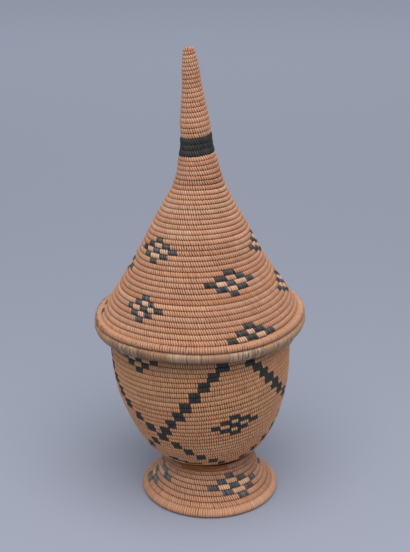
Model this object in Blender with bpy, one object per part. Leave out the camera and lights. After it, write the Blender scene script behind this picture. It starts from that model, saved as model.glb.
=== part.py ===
"""A coiled grass basket on a flared foot, with a tall conical lid that ends in a leaning spire.

Every wall is a coil: a grass bundle wrapped with stitches and sewn to the turn below it. The three coils, for the
foot, the bowl and the lid, are drawn as lines of crest points (radius, height), cut into rows of one turn each,
given their thickness and spun about the basket's axis. The rings are then shifted and tilted as the sewn rows are.
Dimensions are metres. The origin is on the floor, under the middle of the lid.
"""

import math

import bmesh
import bpy

RIM_COIL = 0.0044  # width of the coil that finishes the bowl's mouth
WALL = 0.0044  # thickness of a sewn wall
GROOVE = 0.0008  # depth of the groove between two rows
SEAM = 0.0003  # clearance between neighbouring pieces
SIDES = 28
SPIRE_SIDES = 16
INNER_ROWS = 3  # rows that one band of a wall's plain inner face spans
CREASE = math.radians(50.0)  # edges sharper than this stay sharp
LEDGE_TOP = 0.1480  # where the lid rests

# Crest lines of the three coils, each followed along its outer face. A line's pieces share it, row by row.
# A row's entry gives the piece's name, its number of turns, and the width of its first and last turn.
FOOT_LINE = (
    (0.0519, 0.0),
    (0.0538, 0.0030),
    (0.0516, 0.0060),
    (0.0477, 0.0088),
    (0.0445, 0.0122),
    (0.0417, 0.0161),
    (0.0392, 0.0202),
    (0.0373, 0.0243),
    (0.0360, 0.0285),
    (0.0356, 0.0340),
)
FOOT_ROWS = (
    ("foot_edge_coil", 1, 0.0096, 0.0096),
    ("foot_flare", 6, 0.0046, 0.0037),
    ("waist_coil", 1, 0.0064, 0.0064),
)
BOWL_LINE = (
    (0.0, 0.0345),
    (0.0150, 0.0345),
    (0.0270, 0.0346),
    (0.0335, 0.0351),
    (0.0380, 0.0367),
    (0.0416, 0.0397),
    (0.0457, 0.0440),
    (0.0514, 0.0526),
    (0.0571, 0.0646),
    (0.0618, 0.0780),
    (0.0653, 0.0905),
    (0.0672, 0.1038),
    (0.0682, 0.1202),
    (0.0682, 0.1373),
    (0.0676, 0.1466),
    (0.0664, 0.1521),
    (0.0644, 0.1563),
)
BOWL_ROWS = (
    ("bowl_floor", 9, 0.0039, 0.0039),
    ("bowl_wall", 29, 0.0033, 0.0045),
    ("neck_collar", 5, 0.0038, 0.0038),
)
LID_LINE = (
    (0.0, 0.3500),
    (0.0036, 0.3490),
    (0.0050, 0.3455),
    (0.0066, 0.3345),
    (0.0074, 0.3235),
    (0.0093, 0.3095),
    (0.0110, 0.2980),
    (0.0114, 0.2915),
    (0.0111, 0.2850),
    (0.0117, 0.2775),
    (0.0143, 0.2685),
    (0.0161, 0.2595),
    (0.0195, 0.2495),
    (0.0263, 0.2362),
    (0.0354, 0.2199),
    (0.0434, 0.2038),
    (0.0521, 0.1881),
    (0.0610, 0.1741),
    (0.0689, 0.1619),
    (0.0745, 0.1530),
)
LID_ROWS = (
    ("spire_tip", 3, 0.0028, 0.0028),
    ("spire_shaft", 18, 0.0026, 0.0039),
    ("spire_band", 3, 0.0041, 0.0041),
    ("spire_base", 4, 0.0035, 0.0034),
    ("lid_cone", 32, 0.0034, 0.0042),
)

# The lid's thick edge coil, flat below where it rests, with its upper inner face against the cone.
LID_EDGE_SECTION = (
    (0.0715, LEDGE_TOP + SEAM),
    (0.0771, LEDGE_TOP + SEAM),
    (0.0784, 0.1493),
    (0.0788, 0.1507),
    (0.0782, 0.1523),
    (0.0764, 0.1533),
    (0.0749, 0.1530),
    (0.0708, 0.1506),
    (0.0706, 0.1495),
)
# The pale ledge: a thick bundle outside the wall, flat where the lid's edge rests on it.
LEDGE_SECTION = (
    (0.0686, LEDGE_TOP),
    (0.0786, LEDGE_TOP),
    (0.0800, 0.1457),
    (0.0786, 0.1428),
    (0.0742, 0.1396),
    (0.0686, 0.1378),
)
LEDGE_SAG = 0.0032  # the ledge's underside hangs this much lower at the two sides

# How the sewn rows wander from true rings.
FOOT_SHIFT = 0.0077  # the foot stands this far to the right of the lid's middle
FOOT_SHIFT_OUT = (0.0, 0.139)
CONE_SHIFT = 0.0014  # the cone's middle turns lie this far to the left
CONE_SHIFT_IN = (0.158, 0.190)
CONE_SHIFT_OUT = (0.232, 0.262)
SPIRE_LEAN = 0.077  # sideways drift of the spire per unit of height
SPIRE_BEND = 0.252
SPIRE_BEND_EASE = 0.015
BOWL_TILT = math.radians(3.2)  # rows rise to the right
BOWL_PITCH = math.radians(2.5)  # rows rise to the front
BOWL_TILT_IN = (0.022, 0.042)
BOWL_TILT_OUT = (0.110, 0.1375)
LID_TILT = math.radians(3.6)
LID_TILT_IN = (0.154, 0.222)
EDGE_RISE = 0.0029  # the ledge and the lid's edge curl up this much at the right, and down at the left
LEAST_RADIUS = 0.0001


def ramp(value, start, end):
    return min(max((value - start) / (end - start), 0.0), 1.0)


def ease(value, start, end):
    share = ramp(value, start, end)
    return share * share * (3.0 - 2.0 * share)


def sewn(x, y, z):
    """Where a point of the true turned form lies once its row is shifted and tilted."""
    past_bend = z - SPIRE_BEND
    bent = 0.5 * (past_bend + math.hypot(past_bend, SPIRE_BEND_EASE))
    on_foot = 1.0 - ease(z, *FOOT_SHIFT_OUT)
    on_cone = ease(z, *CONE_SHIFT_IN) * (1.0 - ease(z, *CONE_SHIFT_OUT))
    shift = FOOT_SHIFT * on_foot - CONE_SHIFT * on_cone - SPIRE_LEAN * bent
    above_bowl = ease(z, *BOWL_TILT_OUT)
    in_bowl = ease(z, *BOWL_TILT_IN) * (1.0 - above_bowl)
    in_lid = ease(z, *LID_TILT_IN)
    rise_right = math.tan(BOWL_TILT) * in_bowl + math.tan(LID_TILT) * in_lid
    rise_front = math.tan(BOWL_PITCH) * in_bowl
    to_right = x / max(math.hypot(x, y), LEAST_RADIUS)
    curl = EDGE_RISE * above_bowl * (1.0 - in_lid) * to_right**3
    return x + shift, y, z + x * rise_right - y * rise_front + curl


def smooth_line(stations, steps=24):
    """A fine polyline through the stations, rounded as a Catmull-Rom curve."""
    ends = [stations[0], *stations, stations[-1]]
    line = [stations[0]]
    for before, start, end, after in zip(ends, ends[1:], ends[2:], ends[3:]):
        for step in range(1, steps + 1):
            t = step / steps
            line.append(
                tuple(
                    0.5
                    * (
                        2.0 * b
                        + (c - a) * t
                        + (2.0 * a - 5.0 * b + 4.0 * c - d) * t * t
                        + (3.0 * b - a - 3.0 * c + d) * t * t * t
                    )
                    for a, b, c, d in zip(before, start, end, after)
                )
            )
    return line


def lengths_along(line):
    total = [0.0]
    for (r0, z0), (r1, z1) in zip(line, line[1:]):
        total.append(total[-1] + math.hypot(r1 - r0, z1 - z0))
    return total


def place(line, lengths, distance, depth):
    """The point this far along the line, sunk by depth towards the inside."""
    index = 1
    while index < len(line) - 1 and lengths[index] < distance:
        index += 1
    (r0, z0), (r1, z1) = line[index - 1], line[index]
    step = lengths[index] - lengths[index - 1]
    share = (distance - lengths[index - 1]) / step
    along_r, along_z = (r1 - r0) / step, (z1 - z0) / step
    point_r = r0 + (r1 - r0) * share
    point_z = z0 + (z1 - z0) * share
    return point_r - along_z * depth, point_z + along_r * depth


def row_borders(rows, length):
    """Distances where each row starts, and where the last one ends, stretched a little to fill the length."""
    widths = []
    for _, count, first, last in rows:
        widths += [first + (last - first) * row / max(count - 1, 1) for row in range(count)]
    stretch = length / sum(widths)
    borders = [0.0]
    for width in widths:
        borders.append(borders[-1] + width * stretch)
    return borders


def outer_face(line, lengths, borders, side):
    """Crest and groove points of the rows between these borders. A single row is drawn rounder."""
    steps = 4 if len(borders) == 2 else 2
    points = []
    for start, end in zip(borders, borders[1:]):
        for step in range(steps):
            depth = GROOVE * (1.0 - math.sin(math.pi * step / steps))
            points.append(place(line, lengths, start + (end - start) * step / steps, side * depth))
    points.append(place(line, lengths, borders[-1], side * GROOVE))
    if line[0][0] == borders[0] == 0.0:
        points[0] = line[0]
    return points


def inner_face(line, lengths, borders, side):
    """The plain inner face of a wall, one thickness in from the crests."""
    start, end = borders[0], borders[-1]
    bands = max(1, (len(borders) - 1) // INNER_ROWS)
    return [
        place(line, lengths, start + (end - start) * band / bands, side * WALL)
        for band in range(bands + 1)
    ]


def cut(stations, rows, side):
    """Cut a coil's line into its named pieces and return each one's outer and inner face.

    side is 1 where the inside lies to the left of the line's run.
    """
    line = smooth_line(stations)
    lengths = lengths_along(line)
    borders = row_borders(rows, lengths[-1])
    faces = {}
    start = 0
    for name, count, *_ in rows:
        own = borders[start:start + count + 1]
        if start > 0:
            own[0] += 0.5 * SEAM
        own[-1] -= 0.5 * SEAM
        faces[name] = (outer_face(line, lengths, own, side), inner_face(line, lengths, own, side))
        start += count
    return faces


def round_section(centre, width, height):
    """A free coil cut across, with eight sides."""
    reach = 1.0 / math.cos(math.pi / 8.0)
    return [
        (
            centre[0] + 0.5 * width * reach * math.cos(math.pi * (step + 0.5) / 4.0),
            centre[1] + 0.5 * height * reach * math.sin(math.pi * (step + 0.5) / 4.0),
        )
        for step in range(8)
    ]


def material(name, colour, roughness):
    made = bpy.data.materials.new(name)
    made.use_nodes = True
    shader = made.node_tree.nodes["Principled BSDF"]
    shader.inputs["Base Color"].default_value = (*colour, 1.0)
    shader.inputs["Roughness"].default_value = roughness
    shader.inputs["Metallic"].default_value = 0.0
    made.diffuse_color = (*colour, 1.0)
    return made


def sagging(x, y, z):
    """The ledge's lower points hang lower at the left and the right."""
    below = ease(LEDGE_TOP - z, 0.0, LEDGE_TOP - LEDGE_SECTION[-1][1])
    return x, y, z - LEDGE_SAG * below * x * x / (x * x + y * y)


def turned(name, section, sides, look, frame, closed=True, reshape=None):
    """Spin a section about the axis, then move its rings to where the rows are sewn."""
    mesh = bpy.data.meshes.new(name)
    made = bmesh.new()
    corners = [made.verts.new((r, 0.0, z)) for r, z in section]
    following = corners[1:] + corners[:1] if closed else corners[1:]
    edges = [made.edges.new(pair) for pair in zip(corners, following)]
    bmesh.ops.spin(
        made,
        geom=corners + edges,
        cent=(0.0, 0.0, 0.0),
        axis=(0.0, 0.0, 1.0),
        angle=2.0 * math.pi,
        steps=sides,
        use_merge=True,
    )
    bmesh.ops.remove_doubles(made, verts=made.verts, dist=1e-6)
    bmesh.ops.recalc_face_normals(made, faces=made.faces)
    for corner in made.verts:
        point = tuple(corner.co)
        if reshape:
            point = reshape(*point)
        corner.co = sewn(*point)
        corner.co -= frame.location
    made.to_mesh(mesh)
    made.free()
    mesh.shade_smooth()
    mesh.set_sharp_from_angle(angle=CREASE)
    piece = bpy.data.objects.new(name, mesh)
    piece.data.materials.append(look)
    piece.parent = frame
    bpy.context.scene.collection.objects.link(piece)
    return piece


def frame_at(name, height):
    made = bpy.data.objects.new(name, None)
    made.location = (0.0, 0.0, height)
    made.empty_display_size = 0.02
    bpy.context.scene.collection.objects.link(made)
    return made


def to_axis(outer):
    """Close a face that is solid inside with its two ends on the axis."""
    return [(0.0, outer[0][1]), *[point for point in outer if point[0] > 0.0], (0.0, outer[-1][1])]


def build():
    for old in list(bpy.data.objects):
        bpy.data.objects.remove(old)

    basket = frame_at("basket_frame", 0.0)
    lid = frame_at("lid_frame", LEDGE_TOP)
    looks = {
        "foot_edge_coil": material("foot_edge_straw", (0.58, 0.37, 0.24), 0.65),
        "foot_flare": material("foot_straw", (0.62, 0.39, 0.24), 0.62),
        "waist_coil": material("waist_straw", (0.52, 0.31, 0.18), 0.65),
        "bowl_floor": material("floor_straw", (0.57, 0.36, 0.21), 0.65),
        "bowl_wall": material("bowl_straw", (0.60, 0.37, 0.22), 0.6),
        "lid_ledge": material("pale_wrap", (0.60, 0.47, 0.34), 0.7),
        "neck_collar": material("neck_straw", (0.60, 0.38, 0.23), 0.65),
        "rim_coil": material("rim_straw", (0.62, 0.43, 0.28), 0.62),
        "lid_edge_coil": material("lid_edge_straw", (0.63, 0.41, 0.26), 0.6),
        "lid_cone": material("lid_straw", (0.62, 0.40, 0.25), 0.6),
        "spire_base": material("spire_base_straw", (0.63, 0.42, 0.26), 0.6),
        "spire_band": material("black_wrap", (0.035, 0.040, 0.040), 0.55),
        "spire_shaft": material("spire_straw", (0.64, 0.43, 0.28), 0.6),
        "spire_tip": material("tip_straw", (0.63, 0.43, 0.28), 0.62),
    }

    def add(name, section, frame, sides=SIDES, **shape):
        turned(name, section, sides, looks[name], frame, **shape)

    foot = cut(FOOT_LINE, FOOT_ROWS, 1)
    for face in foot["foot_edge_coil"]:
        face[0] = (face[0][0], 0.0)
    for name, (outer, inner) in foot.items():
        add(name, outer + inner[::-1], basket)

    bowl = cut(BOWL_LINE, BOWL_ROWS, 1)
    under, top = bowl.pop("bowl_floor")
    floor = [*to_axis(under)[:-1], *[point for point in top[::-1] if point[0] > 0.0], (0.0, top[0][1])]
    add("bowl_floor", floor, basket, SIDES // 2, closed=False)
    for name, (outer, inner) in bowl.items():
        add(name, outer + inner[::-1], basket)
    mouth_outer, mouth_inner = (face[-1] for face in bowl["neck_collar"])
    rim_middle = (
        0.5 * (mouth_outer[0] + mouth_inner[0]) - 0.3 * RIM_COIL,
        0.5 * (mouth_outer[1] + mouth_inner[1]) + 0.6 * RIM_COIL,
    )
    add("rim_coil", round_section(rim_middle, RIM_COIL, RIM_COIL), basket)
    add("lid_ledge", LEDGE_SECTION, basket, reshape=sagging)

    cover = cut(LID_LINE, LID_ROWS, -1)
    outer, inner = cover.pop("lid_cone")
    add("lid_cone", outer + inner[::-1], lid)
    for name, (outer, _) in cover.items():
        add(name, to_axis(outer), lid, SPIRE_SIDES, closed=False)
    add("lid_edge_coil", LID_EDGE_SECTION, lid)


build()
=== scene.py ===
"""The looks of a coiled grass basket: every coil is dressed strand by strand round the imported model.

Metres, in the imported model's frame. Angles run round the basket from the front, positive to the right.
"""

import math

import bmesh
import bpy
import numpy as np
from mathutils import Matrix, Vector


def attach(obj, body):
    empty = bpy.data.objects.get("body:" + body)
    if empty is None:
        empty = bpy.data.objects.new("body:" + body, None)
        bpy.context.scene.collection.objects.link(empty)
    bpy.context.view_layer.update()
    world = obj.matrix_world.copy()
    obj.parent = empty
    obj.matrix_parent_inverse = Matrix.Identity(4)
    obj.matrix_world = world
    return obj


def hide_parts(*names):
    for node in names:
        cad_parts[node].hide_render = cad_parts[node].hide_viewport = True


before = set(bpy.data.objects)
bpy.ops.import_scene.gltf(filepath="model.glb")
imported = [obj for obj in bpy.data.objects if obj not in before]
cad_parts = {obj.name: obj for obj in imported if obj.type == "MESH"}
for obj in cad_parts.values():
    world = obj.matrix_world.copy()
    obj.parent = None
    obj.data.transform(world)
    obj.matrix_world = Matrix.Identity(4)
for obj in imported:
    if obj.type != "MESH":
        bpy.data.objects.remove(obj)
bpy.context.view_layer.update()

draws = np.random.default_rng(417)

# The coils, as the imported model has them: crest lines of (radius, height), and rows given by their piece's
# name, their number, and the width of the piece's first and last row.
RIM_COIL = 0.0044
WALL = 0.0044
SEAM = 0.0003
LEDGE_TOP = 0.1480
FOOT_LINE = (
    (0.0519, 0.0),
    (0.0538, 0.0030),
    (0.0516, 0.0060),
    (0.0477, 0.0088),
    (0.0445, 0.0122),
    (0.0417, 0.0161),
    (0.0392, 0.0202),
    (0.0373, 0.0243),
    (0.0360, 0.0285),
    (0.0356, 0.0340),
)
FOOT_ROWS = (
    ("foot_edge_coil", 1, 0.0096, 0.0096),
    ("foot_flare", 6, 0.0046, 0.0037),
    ("waist_coil", 1, 0.0064, 0.0064),
)
BOWL_LINE = (
    (0.0, 0.0345),
    (0.0150, 0.0345),
    (0.0270, 0.0346),
    (0.0335, 0.0351),
    (0.0380, 0.0367),
    (0.0416, 0.0397),
    (0.0457, 0.0440),
    (0.0514, 0.0526),
    (0.0571, 0.0646),
    (0.0618, 0.0780),
    (0.0653, 0.0905),
    (0.0672, 0.1038),
    (0.0682, 0.1202),
    (0.0682, 0.1373),
    (0.0676, 0.1466),
    (0.0664, 0.1521),
    (0.0644, 0.1563),
)
BOWL_ROWS = (
    ("bowl_floor", 9, 0.0039, 0.0039),
    ("bowl_wall", 29, 0.0033, 0.0045),
    ("neck_collar", 5, 0.0038, 0.0038),
)
LID_LINE = (
    (0.0, 0.3500),
    (0.0036, 0.3490),
    (0.0050, 0.3455),
    (0.0066, 0.3345),
    (0.0074, 0.3235),
    (0.0093, 0.3095),
    (0.0110, 0.2980),
    (0.0114, 0.2915),
    (0.0111, 0.2850),
    (0.0117, 0.2775),
    (0.0143, 0.2685),
    (0.0161, 0.2595),
    (0.0195, 0.2495),
    (0.0263, 0.2362),
    (0.0354, 0.2199),
    (0.0434, 0.2038),
    (0.0521, 0.1881),
    (0.0610, 0.1741),
    (0.0689, 0.1619),
    (0.0745, 0.1530),
)
LID_ROWS = (
    ("spire_tip", 3, 0.0028, 0.0028),
    ("spire_shaft", 18, 0.0026, 0.0039),
    ("spire_band", 3, 0.0041, 0.0041),
    ("spire_base", 4, 0.0035, 0.0034),
    ("lid_cone", 32, 0.0034, 0.0042),
)

FOOT_EDGE_SECTION = (
    (0.0482, 0.0004),
    (0.0520, 0.0004),
    (0.0534, 0.0016),
    (0.0538, 0.0032),
    (0.0528, 0.0050),
    (0.0512, 0.0064),
    (0.0497, 0.0070),
    (0.0480, 0.0056),
    (0.0468, 0.0035),
    (0.0470, 0.0014),
)
LID_EDGE_SECTION = (
    (0.0715, LEDGE_TOP + SEAM),
    (0.0771, LEDGE_TOP + SEAM),
    (0.0784, 0.1493),
    (0.0788, 0.1507),
    (0.0782, 0.1523),
    (0.0764, 0.1533),
    (0.0749, 0.1530),
    (0.0708, 0.1506),
    (0.0706, 0.1495),
)
LEDGE_SECTION = (
    (0.0686, 0.1378),
    (0.0742, 0.1396),
    (0.0786, 0.1428),
    (0.0800, 0.1457),
    (0.0786, LEDGE_TOP),
    (0.0686, LEDGE_TOP),
)
LEDGE_SAG = 0.0032

# How the sewn rows wander from true rings.
FOOT_SHIFT = 0.0077
FOOT_SHIFT_OUT = (0.0, 0.139)
CONE_SHIFT = 0.0014
CONE_SHIFT_IN = (0.158, 0.190)
CONE_SHIFT_OUT = (0.232, 0.262)
SPIRE_LEAN = 0.077
SPIRE_BEND = 0.252
SPIRE_BEND_EASE = 0.015
BOWL_TILT = math.radians(3.2)
BOWL_PITCH = math.radians(2.5)
BOWL_TILT_IN = (0.022, 0.042)
BOWL_TILT_OUT = (0.110, 0.1375)
LID_TILT = math.radians(3.6)
LID_TILT_IN = (0.154, 0.222)
EDGE_RISE = 0.0029

# The strands that wrap the coils.
LID_STITCH = 0.00185
BOWL_STITCH = 0.00174
FOOT_STITCH = 0.00180
LEDGE_STITCH = 0.00120
STRAND_FULLNESS = 1.02  # a strand's width, in stitches
SOFT_FULLNESS = 1.16  # softer strands close up
STRAND_DEPTH = 0.00058  # from a strand's crown to its buried underside
STRAND_PROUD = 0.00014  # a crown stands this far outside the coil's crest line
STRAND_REACH = 1.20  # a strand's length, in coils: its ends are tucked into the neighbour rows
DEEPEST_SHARE = 1.3  # past the groove a strand sinks on, up to this many half coils from its middle
COIL_ROUND = 0.175  # how far a strand sinks from the crest to the groove between two rows, in coils
SPIRE_ROUND = 0.12  # the spire's grooves are shallower, and the band's hardly show
BAND_ROUND = 0.05
ROUND_POWER = 1.7  # above 1, a coil is flatter on its crest and steeper towards its grooves
BUNDLE_DEPTH = 0.00125  # the grass bundle lies this far below the crests
LID_SLANT = 0.38  # how far a strand leans aside over its length; along the lid's line, so downwards
BOWL_SLANT = -0.10
FOOT_SLANT = -0.28
BAND_PROUD = 0.00045  # the black band's strands lie over the coil, and the shaft's are drawn tight
SHAFT_INSET = 0.00040
RIM_TAPER = 0.00110  # the collar's last turn thins by this much and ends under the rim coil
COIL_START = 0.3  # the first strand lies this far into a coil's first turn
LEAST_TURN = 0.0016  # strands spread by angle as if no turn were tighter than this radius
NEAR_AXIS = 0.0001
CORE_LEAST = 0.0004  # but for its ends on the axis, a solid core's section keeps this far from it

# The strands of a free coil, which go right round its section.
LOOP_FULLNESS = 1.08
FOOT_EDGE_FULLNESS = 1.2
LOOP_LEAN = 0.25  # a strand leans over this part of the section's length, either way from its middle
LOOP_INSET = 1.5  # how deep the bundle lies, in strand depths
LOOP_CORNERS = 16
LEDGE_DEPTH = 0.00036  # how thick the ledge's strands are, then the loose ones and the lid edge's fibres
LOOSE_DEPTH = 0.0003
FIBRE_DEPTH = 0.0002
LID_EDGE_SLANT = -0.1

# How strands differ. A run is what one split length of grass gives: the mean number of its strands, and the
# spread from run to run.
TONE_RUN = (34, 0.035)
WARMTH_RUN = (30, 0.24)
WIDTH_RUN = (14, 0.055)
# The spread from strand to strand.
TONE_SPREAD = 0.045
WARMTH_SPREAD = 0.12
WIDTH_SPREAD = 0.035
RISE_SPREAD = 0.00003
SLANT_SPREAD = 0.035
SHIFT_SPREAD = 0.00005

# Where the straw is lighter or darker, as shares of its lightness. Rows count from a coil's start, and angles
# are degrees from the front.
SPIRE_BRIGHT = 0.11
# Painted light and shade: the foot lighter in front and darker at its sides, its top rows and the waist
# darker under the bowl, the bowl's top rows darker under the ledge, and the lid darker at its left.
FOOT_FRONT_PAINTED_LIGHT = 0.05
FOOT_SIDE_PAINTED_SHADE = 0.11
FOOT_SIDES = (40.0, 70.0)
FOOT_TOP_PAINTED_SHADE = 0.18
FOOT_TOP_ROWS = (5.0, 7.0)
WAIST_PAINTED_SHADE = 0.33
UNDER_LEDGE_PAINTED_SHADE = 0.12
UNDER_LEDGE_ROWS = (34.0, 37.5)
LID_LEFT_PAINTED_SHADE = 0.06
LID_LEFT = (20.0, 70.0)  # to the left
# The strands between a diamond's blocks are lighter and less warm.
BETWEEN_BRIGHT = 0.14
FOOT_BETWEEN_BRIGHT = 0.20
BETWEEN_PALER = 0.8
FOOT_FADE = 0.90  # how much lighter the foot's dyed strands have become
DYE_UNEVEN = 0.45  # how unevenly the dye took, in lightness and in warmth
DEEP_DYE_UNEVEN = 0.15
DYE_WARMTH_UNEVEN = 0.5

# How far the sewn rows lie from the turned form, in rows: their rise with the sine of the angle and with its
# square, their drop in front, and the turns between which this comes in and goes.
BOWL_ROW_RISE = (0.62, 0.85)
BOWL_FRONT_DROP = 0.27
BOWL_ROWS_IN = (8.0, 13.0)
BOWL_ROWS_OUT = (29.0, 38.0)
BOWL_TOP_EVENS = 0.7  # the share of the rise that is gone at the bowl's top
LID_ROW_RISE = (0.4, 0.5)
LID_FRONT_DROP = 0.05
LID_ROWS_IN = (24.0, 34.0)
LID_ROWS_OUT = (44.0, 60.0)

# Modelling sizes.
SMOOTH_STEPS = 24  # from one station of a line to the next
LINE_REACH = 0.0004  # the directions of a line are measured over this far each way
TURN_STEPS = 96  # round a turned solid
ON_AXIS = 1e-7
WELD = 1e-6
SHARP_EDGE = math.radians(50.0)


def ease(value, start, end):
    share = np.clip((value - start) / (end - start), 0.0, 1.0)
    return share * share * (3.0 - 2.0 * share)


def sewn(x, y, z):
    """Where a point of the true turned form lies once its row is shifted and tilted."""
    past_bend = z - SPIRE_BEND
    bent = 0.5 * (past_bend + np.hypot(past_bend, SPIRE_BEND_EASE))
    on_foot = 1.0 - ease(z, *FOOT_SHIFT_OUT)
    on_cone = ease(z, *CONE_SHIFT_IN) * (1.0 - ease(z, *CONE_SHIFT_OUT))
    shift = FOOT_SHIFT * on_foot - CONE_SHIFT * on_cone - SPIRE_LEAN * bent
    above_bowl = ease(z, *BOWL_TILT_OUT)
    in_bowl = ease(z, *BOWL_TILT_IN) * (1.0 - above_bowl)
    in_lid = ease(z, *LID_TILT_IN)
    rise_right = math.tan(BOWL_TILT) * in_bowl + math.tan(LID_TILT) * in_lid
    rise_front = math.tan(BOWL_PITCH) * in_bowl
    to_right = x / np.maximum(np.hypot(x, y), NEAR_AXIS)
    curl = EDGE_RISE * above_bowl * (1.0 - in_lid) * to_right**3
    return x + shift, y, z + x * rise_right - y * rise_front + curl


def sagging(x, y, z):
    """The ledge's lower points hang lower at the left and the right."""
    below = ease(LEDGE_TOP - z, 0.0, LEDGE_TOP - LEDGE_SECTION[0][1])
    return x, y, z - LEDGE_SAG * below * x * x / (x * x + y * y)


def smooth_line(stations, closed):
    """A fine polyline through the stations, rounded as a Catmull-Rom curve."""
    if closed:
        ends = [stations[-1], *stations, stations[0], stations[1]]
    else:
        ends = [stations[0], *stations, stations[-1]]
    ends = np.array(ends)
    share = np.linspace(0.0, 1.0, SMOOTH_STEPS, endpoint=False)[:, None]
    line = []
    for a, b, c, d in zip(ends, ends[1:], ends[2:], ends[3:]):
        bend = (2.0 * a - 5.0 * b + 4.0 * c - d) * share**2
        turn = (3.0 * b - a - 3.0 * c + d) * share**3
        line.append(0.5 * (2.0 * b + (c - a) * share + bend + turn))
    line.append(ends[-2][None, :])
    return np.concatenate(line)


class Line:
    """A line of (radius, height) that strands are laid along.

    outside is 1 where the outer face lies to the right of the line as it runs, and -1 to the left.
    """

    def __init__(self, stations, outside, closed=False):
        self.points = smooth_line(stations, closed)
        steps = np.hypot(*np.diff(self.points, axis=0).T)
        self.run = np.concatenate([[0.0], np.cumsum(steps)])
        self.length = self.run[-1]
        self.outside = outside
        self.closed = closed

    def at(self, distance):
        """Radius, height and outward direction this far along; past its ends the line runs on straight."""
        distance = np.asarray(distance, float)
        if self.closed:
            distance = distance % self.length
        inside = np.clip(distance, 0.0, self.length)
        before = np.clip(inside - LINE_REACH, 0.0, self.length)
        after = np.clip(inside + LINE_REACH, 0.0, self.length)
        place = [np.interp(inside, self.run, self.points[:, i]) for i in (0, 1)]
        along = [
            (np.interp(after, self.run, self.points[:, i]) - np.interp(before, self.run, self.points[:, i]))
            / (after - before)
            for i in (0, 1)
        ]
        size = np.hypot(*along)
        along_r, along_z = along[0] / size, along[1] / size
        past = distance - inside
        radius = place[0] + along_r * past
        height = place[1] + along_z * past
        return radius, height, self.outside * along_z, -self.outside * along_r


def on_basket(line, angle, distance, rise, reshape=None):
    """The place at this angle, this far along the line and this far outside it."""
    radius, height, out_r, out_z = line.at(distance)
    radius = radius + out_r * rise
    height = height + out_z * rise
    point = radius * np.sin(angle), -radius * np.cos(angle), height
    if reshape:
        point = reshape(*point)
    return np.stack(np.broadcast_arrays(*sewn(*point)), axis=-1)


class Coil:
    """One long coil: its line, its named rows, and how it climbs from turn to turn.

    direction is 1 where the strands follow each other to the right across the front, and -1 to the left.
    The sewn rows don't run as evenly as the turned form. set_over gives how far, in rows, they lie from it.
    """

    def __init__(self, stations, rows, outside, direction, stitch, slant, climbs=True, set_over=None):
        self.line = Line(stations, outside)
        self.direction = direction
        self.stitch = stitch
        self.slant = slant
        self.climbs = climbs
        self.set_over = set_over
        widths = []
        self.spans = {}
        for name, count, first, last in rows:
            self.spans[name] = (len(widths), len(widths) + count)
            widths += [first + (last - first) * row / max(count - 1, 1) for row in range(count)]
        self.turns = len(widths)
        self.edges = np.concatenate([[0.0], np.cumsum(widths)]) * self.line.length / sum(widths)

    def distance(self, turn):
        """How far along the line the coil's middle lies after so many turns."""
        turn = np.asarray(turn, float)
        angle = self.angle(turn)
        if not self.climbs:
            turn = np.floor(turn) + 0.5
        if self.set_over:
            turn = turn + self.set_over(turn, angle)
        last = self.edges[-1] - self.edges[-2]
        past = np.maximum(turn - self.turns, 0.0) * last
        return np.interp(turn, np.arange(self.turns + 1), self.edges) + past

    def angle(self, turn):
        """The angle from the front after so many turns. Each turn starts at the back."""
        return self.direction * (2.0 * np.pi * (np.asarray(turn, float) % 1.0) - np.pi)

    def turn_at(self, row, angle):
        """The turn count of the place in this row at this angle."""
        return row + (self.direction * angle + np.pi) / (2.0 * np.pi)

    def width(self, turn):
        rows = np.clip(np.floor(turn).astype(int), 0, self.turns - 1)
        return np.diff(self.edges)[rows]


def wrapped(angle):
    return (angle + np.pi) % (2.0 * np.pi) - np.pi


def row_rise(angle, rise):
    """A row's rise at this angle, from its shares of the sine and of its square."""
    across = np.sin(angle)
    return rise[0] * across + rise[1] * across**2


def bowl_set_over(turn, angle):
    """The bowl's rows lie lower in front and higher at the right than true rings, most at mid height."""
    rising = row_rise(angle, BOWL_ROW_RISE) * (1.0 - BOWL_TOP_EVENS * ease(turn, *BOWL_ROWS_OUT))
    return ease(turn, *BOWL_ROWS_IN) * (rising - BOWL_FRONT_DROP)


def lid_set_over(turn, angle):
    """The rows of the lid's cone rise to the right a little more than true rings would."""
    share = ease(turn, *LID_ROWS_IN) * (1.0 - ease(turn, *LID_ROWS_OUT))
    return share * (row_rise(angle, LID_ROW_RISE) - LID_FRONT_DROP)


foot = Coil(FOOT_LINE, FOOT_ROWS, 1, 1, FOOT_STITCH, FOOT_SLANT, climbs=False)
bowl = Coil(BOWL_LINE, BOWL_ROWS, 1, 1, BOWL_STITCH, BOWL_SLANT, set_over=bowl_set_over)
lid = Coil(LID_LINE, LID_ROWS, -1, -1, LID_STITCH, LID_SLANT, set_over=lid_set_over)


# Modelling by hand


def pick(kind, test):
    """Select only what passes the test, by its place and normal, in edit mode."""
    bpy.ops.mesh.select_mode(type={"verts": "VERT", "edges": "EDGE", "faces": "FACE"}[kind])
    bpy.ops.mesh.select_all(action="DESELECT")
    made = bmesh.from_edit_mesh(bpy.context.object.data)
    if kind == "verts":
        for corner in made.verts:
            corner.select_set(test(corner.co, corner.normal))
    if kind == "edges":
        for edge in made.edges:
            start, end = (corner.co for corner in edge.verts)
            edge.select_set(test(0.5 * (start + end), end - start))
    if kind == "faces":
        for face in made.faces:
            face.select_set(test(face.calc_center_median(), face.normal))
    made.select_flush_mode()
    bmesh.update_edit_mesh(bpy.context.object.data)


def edit():
    bpy.ops.object.mode_set(mode="EDIT")


def leave():
    bpy.ops.object.mode_set(mode="OBJECT")


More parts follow.
